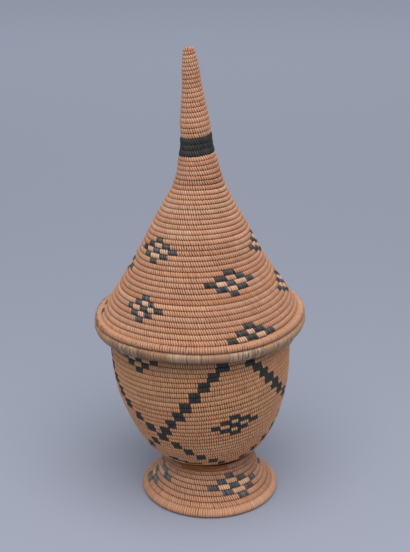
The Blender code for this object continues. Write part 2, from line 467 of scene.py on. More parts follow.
def model_strand(name, cuts, crown=0.38, tuck=0.30):
    """A strand laid flat, from -1 to 1 in X and Y and long in Y, its crown at Z 0 and its open foot at -1.

    crown and tuck are the widths of its crown and of its ends, as shares of the whole.
    """
    bpy.ops.object.select_all(action="DESELECT")
    bpy.ops.mesh.primitive_cube_add(size=2.0, location=(0.0, 0.0, 0.0))
    strand = bpy.context.object
    strand.name = name
    edit()
    pick("faces", lambda middle, normal: normal.z < -0.5)
    bpy.ops.mesh.delete(type="ONLY_FACE")
    pick("edges", lambda middle, run: abs(run.y) > 1.0)
    bpy.ops.mesh.subdivide(number_cuts=cuts)
    pick("verts", lambda place, normal: place.z > 0.0)
    bpy.ops.transform.resize(value=(crown, 1.0, 1.0), center_override=(0.0, 0.0, 0.0))
    bpy.ops.transform.translate(value=(0.0, 0.0, -1.0))
    pick("verts", lambda place, normal: abs(place.y) > 0.99)
    bpy.ops.transform.resize(value=(tuck, 1.0, 1.0), center_override=(0.0, 0.0, 0.0))
    leave()
    places = np.zeros(len(strand.data.vertices) * 3)
    strand.data.vertices.foreach_get("co", places)
    faces = np.array([tuple(face.vertices) for face in strand.data.polygons])
    bpy.data.objects.remove(strand)
    return places.reshape(-1, 3), faces


def turned(name, section, open_on_axis=False, reshape=None):
    """A solid turned from a section of (radius, height), with its rings then moved to where they are sewn."""
    bpy.ops.object.select_all(action="DESELECT")
    bpy.ops.mesh.primitive_circle_add(vertices=len(section), radius=1.0, fill_type="NOTHING")
    piece = bpy.context.object
    piece.name = piece.data.name = name
    for corner, (radius, height) in zip(piece.data.vertices, section):
        corner.co = (radius, 0.0, height)
    edit()
    if open_on_axis:
        pick("edges", lambda middle, run: middle.x < ON_AXIS)
        bpy.ops.mesh.delete(type="EDGE")
    bpy.ops.mesh.select_all(action="SELECT")
    bpy.ops.mesh.spin(
        steps=TURN_STEPS,
        angle=2.0 * math.pi,
        center=(0.0, 0.0, 0.0),
        axis=(0.0, 0.0, 1.0),
        use_auto_merge=True,
    )
    bpy.ops.mesh.select_all(action="SELECT")
    bpy.ops.mesh.remove_doubles(threshold=WELD)
    bpy.ops.mesh.normals_make_consistent(inside=False)
    leave()
    places = np.zeros(len(piece.data.vertices) * 3)
    piece.data.vertices.foreach_get("co", places)
    point = places.reshape(-1, 3).T
    if reshape:
        point = reshape(*point)
    places = np.stack(np.broadcast_arrays(*sewn(*point)), axis=-1)
    piece.data.vertices.foreach_set("co", places.ravel())
    piece.data.update()
    bpy.ops.object.shade_smooth_by_angle(angle=SHARP_EDGE)
    return piece


# Laying strands


def strands_mesh(name, template, places, facts, inward=False):
    """One mesh of many copies of the template, each at its own places, with its facts as attributes."""
    shape, faces = template
    count, corners = places.shape[:2]
    mesh = bpy.data.meshes.new(name)
    mesh.vertices.add(count * corners)
    mesh.vertices.foreach_set("co", places.reshape(-1))
    order = faces[:, ::-1] if inward else faces
    loops = (order[None] + corners * np.arange(count)[:, None, None]).reshape(-1)
    mesh.loops.add(len(loops))
    mesh.loops.foreach_set("vertex_index", loops.astype(np.int32))
    mesh.polygons.add(count * len(faces))
    mesh.polygons.foreach_set("loop_start", np.arange(0, len(loops), 4, dtype=np.int32))
    mesh.update(calc_edges=True)
    mesh.validate()
    mesh.shade_smooth()
    grain = np.empty((count, corners, 3), np.float32)
    grain[:, :, 0] = shape[None, :, 0]
    grain[:, :, 1] = shape[None, :, 1]
    grain[:, :, 2] = facts["seed"][:, None]
    kept = mesh.attributes.new("grain", "FLOAT_VECTOR", "POINT")
    kept.data.foreach_set("vector", grain.reshape(-1))
    for fact in ("tone", "warmth", "wear"):
        spread = np.repeat(facts[fact].astype(np.float32), corners)
        mesh.attributes.new(fact, "FLOAT", "POINT").data.foreach_set("value", spread)
    piece = bpy.data.objects.new(name, mesh)
    bpy.context.scene.collection.objects.link(piece)
    return piece


def runs(count, length, spread):
    """A value that holds for a run of neighbouring strands, as one split length of grass makes."""
    starts = draws.random(count) < 1.0 / length
    values = draws.normal(0.0, spread, count)
    return values[np.maximum.accumulate(np.where(starts, np.arange(count), 0))]


def strand_facts(count):
    """What differs from strand to strand: lightness, warmth of colour, wear, size and set."""
    return {
        "seed": draws.random(count),
        "tone": runs(count, *TONE_RUN) + draws.normal(0.0, TONE_SPREAD, count),
        "warmth": runs(count, *WARMTH_RUN) + draws.normal(0.0, WARMTH_SPREAD, count),
        "wear": np.zeros(count),
        "width": 1.0 + runs(count, *WIDTH_RUN) + draws.normal(0.0, WIDTH_SPREAD, count),
        "rise": draws.normal(0.0, RISE_SPREAD, count),
        "slant": draws.normal(0.0, SLANT_SPREAD, count),
        "shift": draws.normal(0.0, SHIFT_SPREAD, count),
    }


def course(coil, first, last):
    """The turn counts of the strands from one turn count to another, a stitch apart."""
    if not coil.climbs:
        rows = []
        for row in range(int(first), int(last)):
            radius = float(coil.line.at(coil.distance(row))[0])
            count = round(2.0 * math.pi * radius / coil.stitch)
            rows.append(row + (np.arange(count) + 0.5) / count)
        return np.concatenate(rows)
    turns = []
    turn = first
    while turn < last:
        turns.append(turn)
        radius = float(coil.line.at(coil.distance(turn))[0])
        turn += coil.stitch / (2.0 * math.pi * max(radius, LEAST_TURN))
    return np.array(turns)


def lay_rows(template, coil, turns, facts, inward=False, sink=COIL_ROUND):
    """Places of the strands of a coil's rows, on its outer or its inner face."""
    shape, _ = template
    across, along, up = (shape[None, :, axis] for axis in range(3))
    half_coil = 0.5 * coil.width(turns)[:, None]
    from_middle = along * STRAND_REACH * half_coil
    share = np.abs(from_middle / half_coil)
    fall = 1.0 - np.cos(0.5 * np.pi * np.minimum(share, DEEPEST_SHARE))
    sunk = sink * 2.0 * half_coil * fall**ROUND_POWER
    rise = STRAND_PROUD + facts["rise"][:, None] + up * STRAND_DEPTH - sunk
    middle = coil.distance(turns)[:, None]
    radius = np.maximum(coil.line.at(middle)[0], LEAST_TURN)
    if inward:
        rise = -WALL - rise
    set_over = facts["shift"][:, None] + (coil.slant + facts["slant"][:, None]) * from_middle
    sideways = across * 0.5 * STRAND_FULLNESS * coil.stitch * facts["width"][:, None] + set_over
    angle = coil.angle(turns)[:, None] + sideways / radius
    return on_basket(coil.line, angle, middle + from_middle, rise)


def lay_loops(template, line, around, facts, radius, width, depth, slant, reshape):
    """Places of strands that each go once round a free coil whose section is a closed line."""
    shape, _ = template
    across, along, up = (shape[None, :, axis] for axis in range(3))
    distance = 0.5 * (along + 1.0) * line.length
    rise = facts["rise"][:, None] + up * depth
    lean = (slant + facts["slant"][:, None]) * along * LOOP_LEAN * line.length
    set_over = facts["shift"][:, None] + lean
    sideways = across * 0.5 * width * facts["width"][:, None] + set_over
    return on_basket(line, around[:, None] + sideways / radius, distance, rise, reshape)


def lay_loose(template, line, around, facts, radius, width, depth, span, lift, bend, reshape):
    """Places of loose strands: each bows outwards and sideways over part of the coil's section."""
    shape, _ = template
    across, along, up = (shape[None, :, axis] for axis in range(3))
    start, end = (share * line.length for share in span)
    half = 0.5 * (end - start)
    distance = 0.5 * (start + end) + along * half
    bow = 1.0 - along**2
    rise = facts["rise"][:, None] + lift[:, None] * bow + up * depth
    set_over = facts["slant"][:, None] * along * half + bend[:, None] * bow
    sideways = across * 0.5 * width * facts["width"][:, None] + set_over
    return on_basket(line, around[:, None] + sideways / radius, distance, rise, reshape)


# Materials


def in_linear_light(colour):
    """A colour for the shaders, from how it shows on a screen in parts of 255."""
    shares = [part / 255.0 for part in colour]
    return [share / 12.92 if share <= 0.04045 else ((share + 0.055) / 1.055) ** 2.4 for share in shares]


class Wire:
    """A socket's value on its way through the nodes, so that shader maths reads as an expression."""

    def __init__(self, look, socket):
        self.look = look
        self.socket = socket

    def maths(self, operation, *values):
        sockets = dict(enumerate(values))
        return self.look.node("ShaderNodeMath", {"operation": operation}, sockets)

    def __add__(self, other):
        return self.maths("ADD", self, other)

    __radd__ = __add__

    def __sub__(self, other):
        return self.maths("SUBTRACT", self, other)

    def __rsub__(self, other):
        return self.maths("SUBTRACT", other, self)

    def __mul__(self, other):
        return self.maths("MULTIPLY", self, other)

    def __abs__(self):
        return self.maths("ABSOLUTE", self)

    def step(self, start, end):
        """A smooth rise from 0 to 1 as the value goes from start to end."""
        settings = {"interpolation_type": "SMOOTHSTEP"}
        sockets = {"Value": self, "From Min": start, "From Max": end}
        return self.look.node("ShaderNodeMapRange", settings, sockets)


class Look:
    """A material and its nodes."""

    def __init__(self, name, roughness, specular):
        self.material = bpy.data.materials.new(name)
        self.material.use_nodes = True
        self.tree = self.material.node_tree
        self.shader = self.tree.nodes["Principled BSDF"]
        self.shader.inputs["Roughness"].default_value = roughness
        self.shader.inputs["Specular IOR Level"].default_value = specular

    def node(self, kind, settings=None, sockets=None, output=0):
        """Add a node, set it up, feed its sockets with values or links, and return one output."""
        made = self.tree.nodes.new(kind)
        for setting, value in (settings or {}).items():
            setattr(made, setting, value)
        for socket, value in (sockets or {}).items():
            self.feed(made.inputs[socket], value)
        return Wire(self, made.outputs[output])

    def feed(self, socket, value):
        if isinstance(value, Wire):
            self.tree.links.new(value.socket, socket)
        elif isinstance(value, tuple) and socket.type == "RGBA":
            socket.default_value = (*in_linear_light(value), 1.0)
        else:
            socket.default_value = value

    def set(self, socket, value):
        self.feed(self.shader.inputs[socket], value)

    def attribute(self, name, output="Fac"):
        return self.node("ShaderNodeAttribute", {"attribute_name": name}, output=output)

    def mix(self, factor, first, second):
        settings = {"data_type": "RGBA", "blend_type": "MIX", "clamp_factor": True}
        return self.node("ShaderNodeMix", settings, {0: factor, 6: first, 7: second}, output=2)

    def noise(self, vector, scale, detail, roughness):
        sockets = {"Vector": vector, "Scale": scale, "Detail": detail, "Roughness": roughness}
        return self.node("ShaderNodeTexNoise", {"noise_dimensions": "3D"}, sockets, "Fac")

    def place(self):
        return self.node("ShaderNodeTexCoord", output="Object")

    def stretched(self, vector, scale):
        settings = {"operation": "MULTIPLY"}
        return self.node("ShaderNodeVectorMath", settings, {0: vector, 1: scale})

    def bump(self, height, strength, distance):
        sockets = {"Height": height, "Strength": strength, "Distance": distance}
        self.set("Normal", self.node("ShaderNodeBump", None, sockets))


# The fibres' pattern is fine across a strand, long along it, and each strand has its own.
FIBRE_STRETCH = (3.2, 0.35, 61.0)
STALK_STRETCH = (0.5, 0.5, 6.0)
# Between which values of its noise a stalk goes from dark to light, and dye from whole to worn.
STALK_SPAN = (0.35, 0.75)
WEAR_SPAN = (0.35, 0.65)
PATCH_STRENGTH = 0.16
# Painted shade: how far a strand is darkened towards the look's shade colour at its ends, tucked into the
# grooves, and at its edges, in the valleys between strands.
TUCKED_END_SHADE = 0.78
EDGE_SPAN = (0.36, 1.0)  # painted shade darkens a strand from here to its edge, in half widths
STRAND_EDGE_SHADE = 0.66
GLOSS_BEST = 0.08  # the smoothest fibre is this much less rough than the look, and the rest vary upwards
GLOSS_SPREAD = 0.22


def strand_look(
    name, plain, warm, pale, shade, roughness=0.5, specular=0.4, streak=0.2, worn=None, tuck=(0.60, 0.88)
):
    """Split grass or fibre: three colours mixed by warmth, lengthwise streaks, and painted shade that darkens
    its tucked ends and its edges towards the shade colour.

    worn is the colour under worn dye, and tuck where painted shade darkens a strand towards its ends, in half
    lengths.
    """
    look = Look(name, roughness, specular)
    grain = look.attribute("grain", "Vector")
    across, along = (look.node("ShaderNodeSeparateXYZ", None, {0: grain}, output) for output in (0, 1))
    warmth = look.attribute("warmth")
    tone = look.attribute("tone")
    colour = look.mix(warmth.step(0.0, 1.0), plain, warm)
    colour = look.mix((0.0 - warmth).step(0.0, 1.0), colour, pale)
    fibres = look.noise(look.stretched(grain, FIBRE_STRETCH), scale=1.9, detail=3.0, roughness=0.62)
    patches = look.noise(look.place(), scale=26.0, detail=2.0, roughness=0.55)
    shine = 1.0 + (fibres - 0.5) * streak * 2.0 + tone + (patches - 0.5) * PATCH_STRENGTH
    lit = look.node("ShaderNodeVectorMath", {"operation": "SCALE"}, {0: colour, "Scale": shine})
    # Painted shade: darker towards the ends in the grooves and towards the edges between strands.
    base = look.mix(abs(along).step(*tuck) * TUCKED_END_SHADE, lit, shade)
    base = look.mix(abs(across).step(*EDGE_SPAN) * STRAND_EDGE_SHADE, base, shade)
    if worn:
        base = look.mix(look.attribute("wear") * fibres.step(*WEAR_SPAN), base, worn)
    look.set("Base Color", base)
    look.set("Roughness", roughness - GLOSS_BEST + fibres * GLOSS_SPREAD)
    look.bump(fibres, strength=0.3, distance=0.0002)
    return look.material


def bundle_look(name, dark, light, fineness=420.0):
    """The grass bundle seen in the gaps between strands: dark, partly its own colour and partly painted shade
    of the gaps, with fine stalks along the coil.
    """
    look = Look(name, roughness=0.8, specular=0.15)
    grain = look.stretched(look.place(), STALK_STRETCH)
    stalks = look.noise(grain, scale=fineness, detail=2.0, roughness=0.6)
    look.set("Base Color", look.mix(stalks.step(*STALK_SPAN), dark, light))
    look.bump(stalks, strength=0.5, distance=0.0003)
    return look.material


# Each look's last colour is the painted shade of its grooves and of the valleys between its strands.
GROOVE_SHADE_BROWN = (92, 44, 24)
natural_look = strand_look("natural_straw", (198, 147, 115), (193, 131, 96), (208, 167, 136), GROOVE_SHADE_BROWN)
bowl_look = strand_look("bowl_straw", (208, 153, 111), (206, 135, 93), (204, 161, 118), GROOVE_SHADE_BROWN)
DYED_WARM = (64, 60, 58)
DYED_SHADE = (26, 20, 18)
greyed_look = strand_look(
    "greyed_straw",
    (58, 59, 60),
    DYED_WARM,
    (68, 74, 78),
    DYED_SHADE,
    roughness=0.42,
    specular=0.55,
    streak=0.5,
    worn=(150, 138, 128),
)
dyed_look = strand_look(
    "dyed_straw",
    (46, 46, 44),
    (54, 48, 44),
    (42, 50, 48),
    DYED_SHADE,
    roughness=0.45,
    specular=0.4,
    streak=0.3,
)
# Painted shade: the ledge's wraps darken towards their shade colour low on the outer face, near the wall, and
# round the inside, where the ledge turns under.
wrap_look = strand_look(
    "pale_wrap",
    (182, 142, 112),
    (172, 128, 97),
    (198, 174, 148),
    (88, 64, 42),
    roughness=0.45,
    streak=0.3,
    tuck=(0.26, 0.8),
)
loose_look = strand_look(
    "loose_wrap",
    (184, 150, 122),
    (178, 136, 104),
    (196, 178, 158),
    (110, 84, 62),
    roughness=0.4,
    specular=0.5,
    streak=0.3,
    tuck=(0.8, 1.0),
)
# The bundle's dark colour is partly the grass's own and partly painted shade of the gaps between strands.
bundle = bundle_look("grass_bundle", (96, 46, 24), (140, 80, 48))
stalk_look = bundle_look("bare_stalks", (132, 80, 46), (168, 114, 72), fineness=210.0)


# Pattern: black blocks of a few strands each


# The diamonds: angle and row of the middle block, then the spacing and width of the blocks in degrees.
LID_DIAMONDS = (
    (-47.7, 43, 21.0, 10.5),
    (87.0, 44, 21.0, 10.5),
    (200.0, 43, 21.0, 10.5),
    (28.3, 49, 17.6, 9.2),
    (148.0, 49, 17.6, 9.2),
    (-98.7, 48, 17.6, 9.2),
    (-40.4, 54, 12.2, 6.6),
    (87.0, 54, 12.2, 6.6),
    (203.0, 54, 12.2, 6.6),
    (31.2, 59, 12.7, 7.2),
    (151.2, 59, 12.7, 7.2),
    (-100.0, 59, 12.7, 7.2),
)
BOWL_DIAMONDS = ((21.8, 23, 13.8, 8.0), (-41.0, 37, 11.5, 6.0))
FOOT_DIAMONDS = (
    (30.5, 4, 26.0, 12.6),
    (120.5, 4, 26.0, 12.6),
    (210.5, 4, 26.0, 12.6),
)
FOOT_SKEW = -2.8  # a foot diamond leans by this many degrees from row to row
# The worn diamond at the foot's left has lost part of its blocks: angle and row of what is left, and of the
# pale squares between.
WORN_BLOCKS = (
    (-77.0, 6),
    (-84.0, 3),
    (-66.0, 5),
    (-72.0, 2),
    (-57.0, 4),
    (-85.0, 1),
)
WORN_PALE = ((-72.0, 4), (-82.0, 2))
WORN_WIDTH = 16.0
# Where its dye is worn, how much at most, and the share of strands that it shows on.
WORN_IN = (-105.0, -92.0)
WORN_OUT = (-60.0, -46.0)
WORN_MOST = 0.8
WORN_STRANDS = 0.6

# The bowl's two lines of two-row blocks: they start by the ledge, either side of a middle, run outwards and
# downwards, and cross the next middle's lines.
LINE_MIDDLE = 21.35
LEFT_START = 7.35
RIGHT_START = 11.4
LINE_TOP_ROW = 37
LEFT_STEP = 6.0
RIGHT_STEP = 5.2
LEFT_BENDS = ((8, 3.4),)  # past this pair of rows the line's step grows by so many degrees
RIGHT_BENDS = ((3, 1.3), (5, 2.3), (10, 1.1))
BLOCK_WIDTH = 7.6
REPEATS = 3
REPEAT_ANGLE = 360.0 / REPEATS
# Short dashes of one row near the bowl's bottom: angle, row and width in degrees.
DASHES = (
    (-35.0, 13, 9.0),
    (-29.0, 12, 18.0),
    (-15.5, 11, 20.0),
)


def stepped_diamond(coil, turns, centre_angle, centre_row, spacing, width, skew=0.0):
    """Which strands are black, and which lie between them, in a diamond of 1, 2, 3, 2 and 1 blocks."""
    angle = np.degrees(wrapped(coil.angle(turns) - math.radians(centre_angle)))
    middle = coil.turn_at(centre_row, wrapped(math.radians(centre_angle)))
    level = np.rint(turns - middle - coil.direction * np.radians(angle) / (2.0 * np.pi))
    angle = angle - skew * level
    count = 3.0 - np.abs(level)
    slot = angle / spacing + 0.5 * (count - 1.0)
    nearest = np.clip(np.rint(slot), 0.0, np.maximum(count - 1.0, 0.0))
    near = np.abs(slot - nearest) * spacing
    shown = count > 0.5
    black = shown & (near < 0.5 * width)
    between = shown & ~black & (np.abs(angle) < 0.5 * (count - 1.0) * spacing)
    return black, between


def row_of(coil, turns):
    return np.rint(turns - coil.turn_at(0, coil.angle(turns)))


def diamonds(coil, turns, found_at, skew=0.0):
    black = np.zeros(len(turns), bool)
    between = np.zeros(len(turns), bool)
    for facts in found_at:
        found, inside = stepped_diamond(coil, turns, *facts, skew=skew)
        black |= found
        between |= inside
    return black, between


def repeated(found_at):
    """The same marks again at each repeat of the pattern round the bowl."""
    return [(angle + REPEAT_ANGLE * step, *rest) for angle, *rest in found_at for step in range(REPEATS)]


def lid_pattern(turns):
    return diamonds(lid, turns, LID_DIAMONDS)


def line_run(pair, start, step, bends):
    """How far round from its middle one of the bowl's lines stands at each pair of rows."""
    return start + step * pair + sum(more * np.maximum(pair - past, 0.0) for past, more in bends)


def bowl_pattern(turns):
    black, between = diamonds(bowl, turns, repeated(BOWL_DIAMONDS))
    pair = np.floor((LINE_TOP_ROW - row_of(bowl, turns)) / 2.0)
    to_left = -line_run(pair, LEFT_START, LEFT_STEP, LEFT_BENDS)
    to_right = line_run(pair, RIGHT_START, RIGHT_STEP, RIGHT_BENDS)
    for step in range(REPEATS):
        middle = LINE_MIDDLE + REPEAT_ANGLE * step
        for run in (to_left, to_right):
            off = np.degrees(wrapped(bowl.angle(turns) - np.radians(middle + run)))
            black |= np.abs(off) < 0.5 * BLOCK_WIDTH
    for angle, its_row, width in repeated(DASHES):
        off = np.degrees(wrapped(bowl.angle(turns) - math.radians(angle)))
        black |= (row_of(bowl, turns) == its_row) & (np.abs(off) < 0.5 * width)
    return black, between & ~black


def foot_pattern(turns):
    black, between = diamonds(foot, turns, FOOT_DIAMONDS, FOOT_SKEW)
    row = np.floor(turns)
    for blocks, marked in ((WORN_BLOCKS, black), (WORN_PALE, between)):
        for angle, its_row in blocks:
            off = np.degrees(wrapped(foot.angle(turns) - math.radians(angle)))
            marked |= (row == its_row) & (np.abs(off) < 0.5 * WORN_WIDTH)
    return black, between & ~black


# Pieces

outer_strand = model_strand("strand", cuts=3)
inner_strand = model_strand("lining_strand", cuts=2)
loop_strand = model_strand("loop_strand", cuts=15, tuck=1.0)


def finish(piece, body, look):
    piece.data.materials.clear()
    piece.data.materials.append(look)
    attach(piece, body)


def bundle_section(coil, name, solid=False):
    """The section of the grass wall under the strands, as an outer and an inner face."""
    first, last = coil.spans[name]
    start, end = coil.edges[first], coil.edges[last]
    if first > 0:
        start += 0.5 * SEAM
    end -= 0.5 * SEAM
    distances = np.linspace(start, end, 2 * (last - first) + 1)

    def face(depth):
        radius, height, out_r, out_z = coil.line.at(distances)
        return list(zip(np.maximum(radius - out_r * depth, 0.0), height - out_z * depth))

    outer = face(BUNDLE_DEPTH)
    if solid:
        outer = [point for point in outer if point[0] > CORE_LEAST]
        return [(0.0, outer[0][1]), *outer, (0.0, outer[-1][1])]
    return outer + face(WALL - BUNDLE_DEPTH)[::-1]


def foot_side_shade(angle):
    """Painted light and shade: the foot's straw is a little lighter in front and darker at the sides, where
    less light falls.
    """
    return FOOT_FRONT_PAINTED_LIGHT - FOOT_SIDE_PAINTED_SHADE * ease(np.abs(angle), *FOOT_SIDES)


def straw_shade(coil, turns):
    """Painted light and shade on a coil's straw: how much lighter or darker it is from place to place as the
    light falls.
    """
    angle = np.degrees(coil.angle(turns))
    if coil is bowl:
        return -UNDER_LEDGE_PAINTED_SHADE * ease(turns, *UNDER_LEDGE_ROWS)
    if coil is foot:
        return foot_side_shade(angle) - FOOT_TOP_PAINTED_SHADE * ease(turns, *FOOT_TOP_ROWS)
    return -LID_LEFT_PAINTED_SHADE * ease(-angle, *LID_LEFT)


def worn_share(coil, turns):
    """How worn the dye is: only in the foot's left diamond."""
    if coil is not foot:
        return np.zeros(len(turns))
    angle = np.degrees(foot.angle(turns))
    inside = ease(angle, *WORN_IN) * (1.0 - ease(angle, *WORN_OUT))
    return WORN_MOST * inside * (draws.random(len(turns)) < WORN_STRANDS)


def dye(coil, turns, facts, pattern, deep_dye):
    """Mark the strands of the pattern, fade and wear them, and return which ones are black."""
    black, between = pattern(turns)
    facts["tone"] += (FOOT_BETWEEN_BRIGHT if coil is foot else BETWEEN_BRIGHT) * between
    facts["warmth"] -= BETWEEN_PALER * between
    facts["wear"] = worn_share(coil, turns)
    facts["width"] = np.where(black, SOFT_FULLNESS if deep_dye else 1.0, facts["width"])
    fade = FOOT_FADE if coil is foot else 0.0
    uneven = DEEP_DYE_UNEVEN if deep_dye else DYE_UNEVEN
    facts["tone"] += black * draws.normal(fade, uneven, len(turns))
    facts["warmth"] = np.where(black, draws.normal(0.0, DYE_WARMTH_UNEVEN, len(turns)), facts["warmth"])
    return black


def dress(
    coil, name, look, pattern=None, deep_dye=False, solid=False,
    past=0.0, taper=0.0, sink=COIL_ROUND, set_out=0.0,
):
    """Build one part of a coil: its grass bundle, its strands outside and in, and its dyed strands."""
    body = "lid" if coil is lid else "basket"
    dark_look = dyed_look if deep_dye else greyed_look
    core = turned(name + "_bundle", bundle_section(coil, name, solid), open_on_axis=solid)
    finish(core, body, bundle)
    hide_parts(name)
    first, last = coil.spans[name]
    turns = course(coil, max(first, COIL_START), last + past)
    facts = strand_facts(len(turns))
    facts["rise"] += set_out
    if taper:
        facts["rise"] -= taper * ease(turns, last, last + past)
    # Painted light and shade, added to each strand's own random tone.
    facts["tone"] += straw_shade(coil, turns)
    if solid:
        facts["tone"] += SPIRE_BRIGHT
    black = dye(coil, turns, facts, pattern, deep_dye) if pattern else np.zeros(len(turns), bool)
    places = lay_rows(outer_strand, coil, turns, facts, sink=sink)
    for label, chosen, its_look in (("_strands", ~black, look), ("_dyed_strands", black, dark_look)):
        if chosen.any():
            kept = {fact: values[chosen] for fact, values in facts.items()}
            finish(strands_mesh(name + label, outer_strand, places[chosen], kept), body, its_look)
    if not solid:
        facts = strand_facts(len(turns))
        places = lay_rows(inner_strand, coil, turns, facts, inward=True)
        finish(strands_mesh(name + "_lining", inner_strand, places, facts, inward=True), body, look)


# Painted light and shade: the foot's edge coil lighter in front and darker at its sides.
def shade_foot_edge(angle, facts):
    facts["tone"] += foot_side_shade(angle)


def dress_loop(
    name, section, body, look, stitch,
    depth=STRAND_DEPTH, fullness=LOOP_FULLNESS, slant=0.0, reshape=None, set_facts=None,
):
    """A free coil of closed section: a bundle and strands that go right round it."""
    line = Line(section, 1, closed=True)
    middle = float(np.mean(line.points[:, 0]))
    radius, height, out_r, out_z = line.at(np.linspace(0.0, line.length, LOOP_CORNERS, endpoint=False))
    inset = LOOP_INSET * depth
    under = list(zip(radius - out_r * inset, height - out_z * inset))
    core = turned(name + "_bundle", under, reshape=reshape)
    finish(core, body, bundle)
    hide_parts(name)
    count = round(2.0 * math.pi * middle / stitch)
    around = 2.0 * np.pi * (np.arange(count) + 0.5) / count
    facts = strand_facts(count)
    if set_facts:
        set_facts(np.degrees(wrapped(around)), facts)
    width = fullness * stitch
    places = lay_loops(loop_strand, line, around, facts, middle, width, depth, slant, reshape)
    finish(strands_mesh(name + "_strands", loop_strand, places, facts), body, look)
    return line, middle


def round_section(middle_r, middle_z, radius, corners):
    turns = [2.0 * math.pi * corner / corners for corner in range(corners)]
    return [(middle_r + radius * math.cos(turn), middle_z + radius * math.sin(turn)) for turn in turns]


# The waist is a coil of bare stalks, side by side.
STALKS = 5
STALK_RADIUS = 0.00070
STALK_CORNERS = 6
STALK_SWAY = 0.00018
STALK_WAVES = 3
OUTER_STALKS_SUNK = 0.0009
WAIST_PROUD = 0.00025
# It is sewn over in two rows, of which the upper one leaves the stalks bare in front: angles from and to.
WAIST_ROWS = (*FOOT_ROWS[:2], ("waist_coil", 2, 0.0026, 0.0038))
BARE_FRONT = (-33.0, 25.0)
BARE_RAGGED = 1.5  # how far the sewn part's ends scatter, in degrees


def dress_waist():
    """The waist: bare stalks in front, and two sewn rows over them elsewhere."""
    first, last = foot.spans["waist_coil"]
    core = turned("waist_coil_bundle", bundle_section(foot, "waist_coil"))
    finish(core, "basket", bundle)
    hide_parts("waist_coil")
    start, end = foot.edges[first], foot.edges[last]
    for stalk in range(STALKS):
        share = (stalk + 0.5) / STALKS
        sunk = STALK_RADIUS + OUTER_STALKS_SUNK * (2.0 * share - 1.0) ** 2
        radius, height, out_r, out_z = foot.line.at(start + share * (end - start))
        phase = draws.random() * 2.0 * math.pi

        def swayed(x, y, z, phase=phase):
            return x, y, z + STALK_SWAY * np.sin(STALK_WAVES * np.arctan2(x, -y) + phase)

        middle_r, middle_z = float(radius - out_r * sunk), float(height - out_z * sunk)
        section = round_section(middle_r, middle_z, STALK_RADIUS, STALK_CORNERS)
        finish(turned(f"waist_stalk_{stalk}", section, reshape=swayed), "basket", stalk_look)
    waist = Coil(FOOT_LINE, WAIST_ROWS, 1, 1, FOOT_STITCH, FOOT_SLANT, climbs=False)
    first, last = waist.spans["waist_coil"]
    turns = course(waist, first, last)
    angle = np.degrees(waist.angle(turns)) + draws.normal(0.0, BARE_RAGGED, len(turns))
    turns = turns[(turns < last - 1) | (angle < BARE_FRONT[0]) | (angle > BARE_FRONT[1])]
    facts = strand_facts(len(turns))
    facts["rise"] += WAIST_PROUD
    # Painted shade: the waist's strands are darkened as if in the shadow under the bowl.
    facts["tone"] -= WAIST_PAINTED_SHADE
    places = lay_rows(outer_strand, waist, turns, facts)
    finish(strands_mesh("waist_strands", outer_strand, places, facts), "basket", natural_look)


# Where the ledge's wrapping is worn thin and darker: angles from and to, and the degrees it takes to set in.
THIN_WRAP_SPANS = ((-54.0, -29.0), (17.0, 36.0))
THIN_WRAP_EASE = 4.0
THIN_WRAP_DARK = 0.18
# At the sides the wrapping is warmer.
WRAP_SIDES = (56.0, 75.0)
WRAP_SIDE_WARMTH = 0.6
# The part of the ledge's section that loose strands lie on, then the strands: angles from and to, their
# number, width and lift.
LEDGE_FACE = (0.15, 0.50)
LOOSE_STRANDS = (
    (-55.0, -27.0, 20, 0.0006, 0.0004),
    (16.0, 37.0, 24, 0.0012, 0.0002),
    (42.0, 60.0, 9, 0.0005, 0.0010),
)
# The same for the fine fibres that stand off the lid's edge coil, closest together at the left.
EDGE_FACE = (0.10, 0.50)
EDGE_FIBRES = (
    (-112.0, -58.0, 46, 0.00022, 0.0011),
    (-180.0, 180.0, 60, 0.00020, 0.0006),
)
# The mean and spread of what has come loose, and its least lift, in strand depths.
LOOSE_WARMTH = (-0.6, 0.5)
LOOSE_TONE = (-0.09, 0.16)
LOOSE_SLANT = (0.04, 0.16)
LOOSE_BEND = (0.0, 0.00035)
LEAST_LIFT = 0.2


def thin_wraps(angle, facts):
    facts["warmth"] += WRAP_SIDE_WARMTH * ease(np.abs(angle), *WRAP_SIDES)
    for start, end in THIN_WRAP_SPANS:
        inside = ease(angle, start - THIN_WRAP_EASE, start) * (1.0 - ease(angle, end, end + THIN_WRAP_EASE))
        facts["tone"] -= THIN_WRAP_DARK * inside


def fray(label, loop, span, strays, body, look, depth, reshape=None):
    """Strands or fibres that have come loose from a free coil."""
    line, middle = loop
    for number, (start, end, count, width, lift) in enumerate(strays):
        around = np.radians(draws.uniform(start, end, count))
        facts = strand_facts(count)
        facts["warmth"] = draws.normal(*LOOSE_WARMTH, count)
        facts["tone"] = draws.normal(*LOOSE_TONE, count)
        facts["slant"] = draws.normal(*LOOSE_SLANT, count)
        lifts = LEAST_LIFT * depth + np.abs(draws.normal(0.0, lift, count))
        bends = draws.normal(*LOOSE_BEND, count)
        places = lay_loose(
            loop_strand, line, around, facts, middle, width, depth, span, lifts, bends, reshape
        )
        finish(strands_mesh(f"{label}_{number}", loop_strand, places, facts), body, look)


def dress_ledge():
    loop = dress_loop(
        "lid_ledge",
        LEDGE_SECTION,
        "basket",
        wrap_look,
        LEDGE_STITCH,
        depth=LEDGE_DEPTH,
        reshape=sagging,
        set_facts=thin_wraps,
    )
    fray(
        "loose_wrap", loop, LEDGE_FACE, LOOSE_STRANDS, "basket", loose_look, LOOSE_DEPTH, sagging
    )


